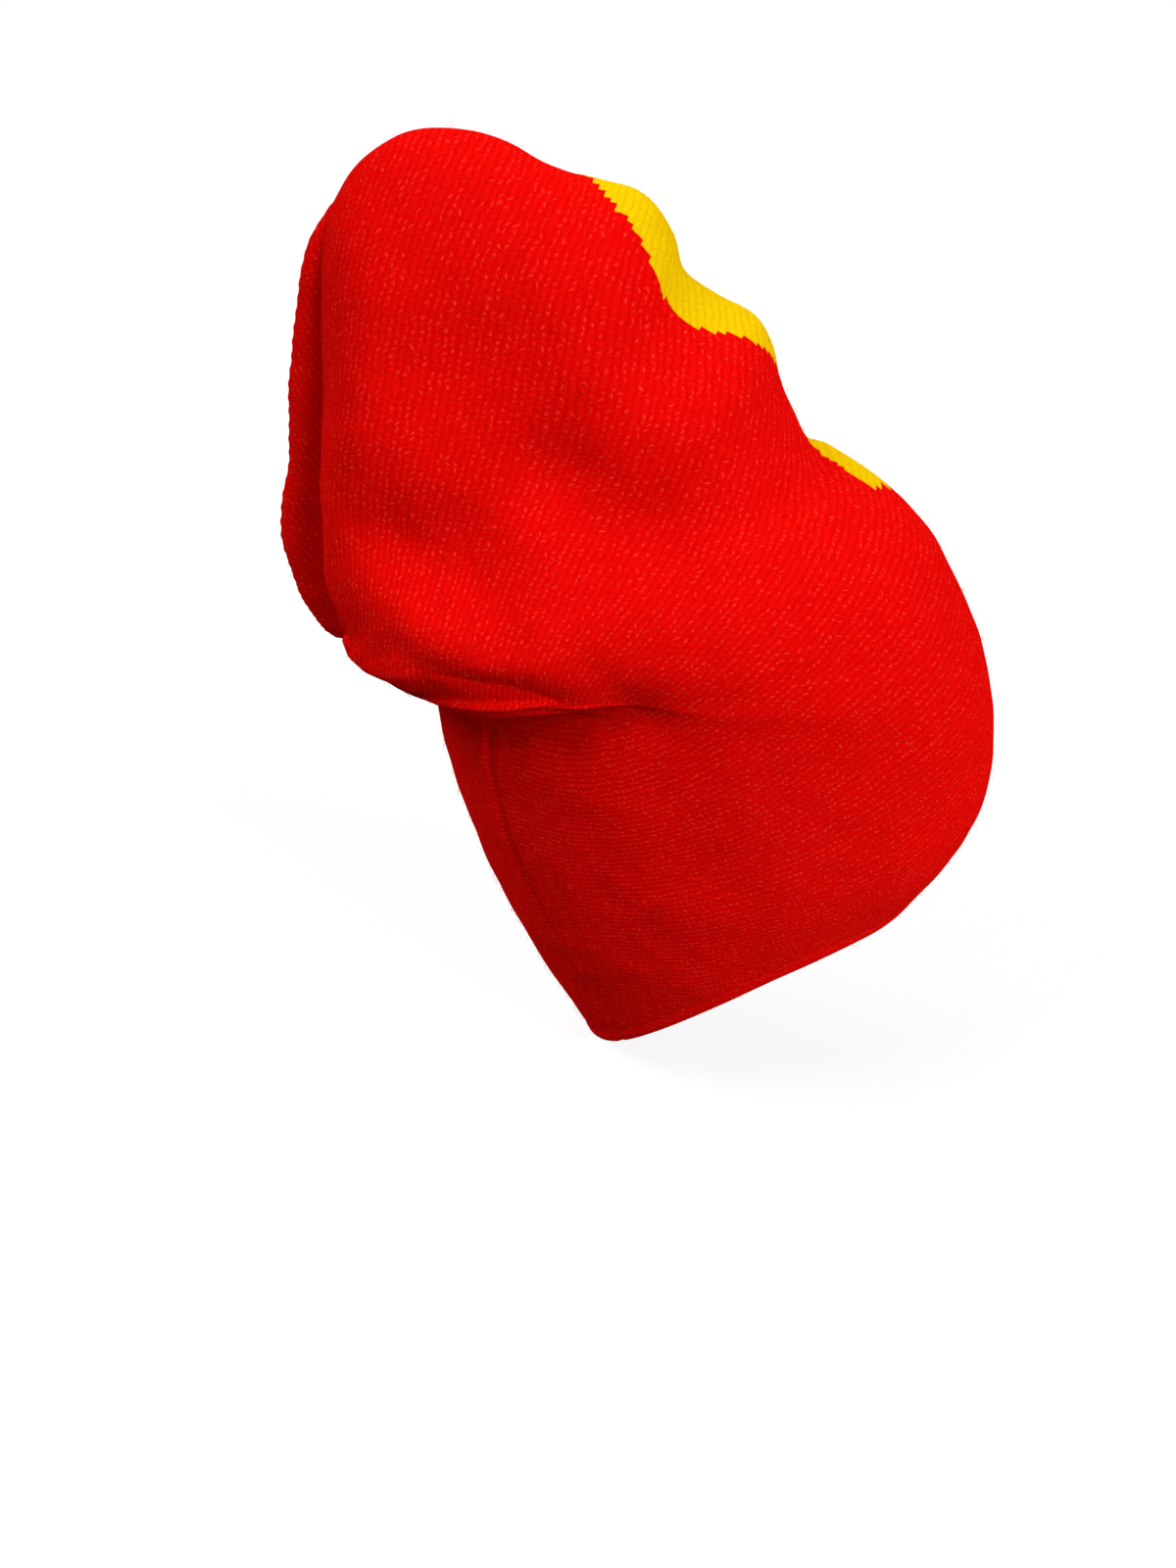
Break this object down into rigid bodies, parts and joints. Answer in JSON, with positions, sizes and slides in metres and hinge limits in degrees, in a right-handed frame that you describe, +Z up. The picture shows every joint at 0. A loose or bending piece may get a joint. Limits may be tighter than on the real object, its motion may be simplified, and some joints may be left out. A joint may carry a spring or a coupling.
{
  "type": "long knitted beanie",
  "caption": "Long soft knitted beanie in its worn form: a deep head part whose tall flat-ended bag stands up and folds back over the nape, with a coloured field on its front.",
  "frame": {"origin": "middle of the rim opening, where the head carries the hat", "axes": "+Z up out of the head, +X to the wearer's front, +Y to the wearer's left"},
  "size_m": [0.2541, 0.1614, 0.3412],
  "materials": {
    "red_knit": "matte wool knit",
    "yellow_knit": "matte wool knit"
  },
  "bodies": {
    "root": {"knit_body": "red_knit", "front_panel": "yellow_knit", "end_seam": "red_knit"}
  },
  "joints": []
}
